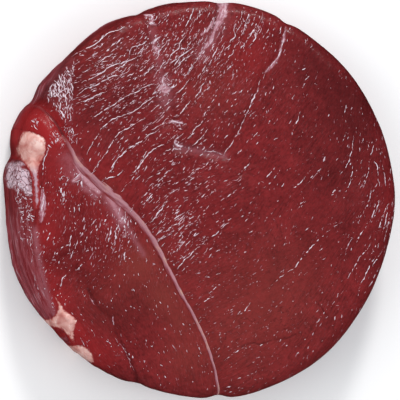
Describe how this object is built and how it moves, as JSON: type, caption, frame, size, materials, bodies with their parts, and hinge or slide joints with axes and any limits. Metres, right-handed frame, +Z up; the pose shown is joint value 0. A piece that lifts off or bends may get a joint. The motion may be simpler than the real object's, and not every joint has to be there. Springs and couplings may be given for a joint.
{
  "type": "raw venison leg steak",
  "caption": "Thick raw venison slice cut across the haunch: dark red lean in several muscles, parted by silverskin and small fat pockets.",
  "frame": {"origin": "on the floor, under the middle of the slice's box", "axes": "+Z up through the slice's thickness, out of the upper cut face; +X towards the thick side of the topside muscle, away from the fat; +Y away from the viewer along the cut face"},
  "size_m": [0.1408, 0.1416, 0.0298],
  "materials": {
    "lean": "moist raw lean meat",
    "outer_lean": "moist lean meat under a thin membrane",
    "silverskin": "moist satin connective tissue",
    "fat": "soft satin fat"
  },
  "bodies": {
    "root": {"topside_muscle": "lean", "inner_muscle": "lean", "outer_muscle": "outer_lean", "silverskin": "silverskin", "fat_upper": "fat", "fat_middle": "fat", "fat_lower": "fat"}
  },
  "joints": []
}
